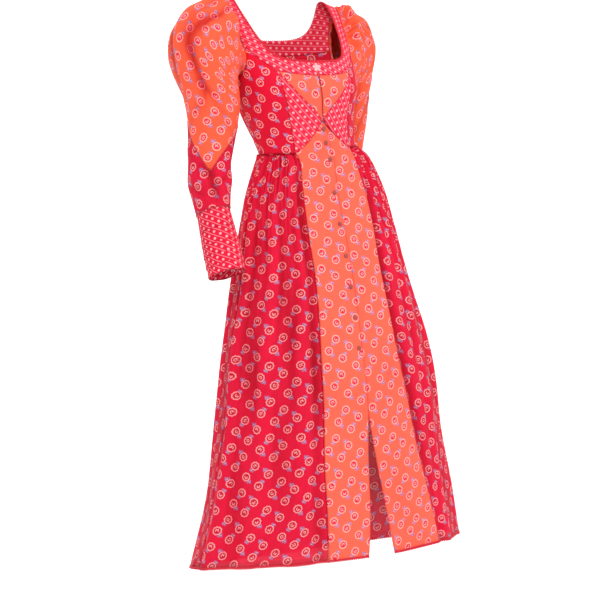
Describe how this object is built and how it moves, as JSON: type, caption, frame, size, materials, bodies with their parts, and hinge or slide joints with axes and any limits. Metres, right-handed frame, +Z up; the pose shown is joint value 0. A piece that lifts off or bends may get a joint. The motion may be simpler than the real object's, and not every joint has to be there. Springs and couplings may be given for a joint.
{
  "type": "corset dress",
  "caption": "Midi corset dress in its worn shape, with a scoop neck, puff sleeves with tucked cuffs, a peaked waist seam, a gathered skirt and a buttoned front that opens into a slit.",
  "frame": {"origin": "the middle of the line over the two shoulders, at the height where the shoulder seams meet the neck; the dress is held there, as it is worn", "axes": "+Z up; the front of the dress faces -Y; the dress's own left is +X"},
  "size_m": [0.6671, 0.4088, 1.255],
  "materials": {
    "orange_rose_print": "matt printed cotton",
    "red_rose_print": "matt printed cotton voile",
    "dot_print": "matt printed cotton",
    "picot_trim": "matt looped braid",
    "covered_button": "cloth-covered",
    "pale_resin": "glossy"
  },
  "bodies": {
    "root": {"bodice_back": "red_rose_print", "bust_band_left": "dot_print", "bust_band_right": "dot_print", "button_1": "covered_button", "button_2": "covered_button", "button_3": "covered_button", "button_4": "covered_button", "button_5": "covered_button", "button_6": "covered_button", "button_7": "covered_button", "button_8": "covered_button", "button_9": "covered_button", "cuff_left": "dot_print", "cuff_right": "dot_print", "flower_button": "pale_resin", "front_inset_left": "orange_rose_print", "front_inset_right": "orange_rose_print", "hem_trim": "picot_trim", "neck_band_back": "dot_print", "neck_band_front_left": "dot_print", "neck_band_front_right": "dot_print", "neck_trim": "picot_trim", "side_front_left": "red_rose_print", "side_front_right": "red_rose_print", "skirt_back": "red_rose_print", "skirt_front_left": "orange_rose_print", "skirt_front_right": "orange_rose_print", "skirt_side_left": "red_rose_print", "skirt_side_right": "red_rose_print", "sleeve_lower_left": "red_rose_print", "sleeve_lower_right": "red_rose_print", "sleeve_upper_left": "orange_rose_print", "sleeve_upper_right": "orange_rose_print"}
  },
  "joints": []
}
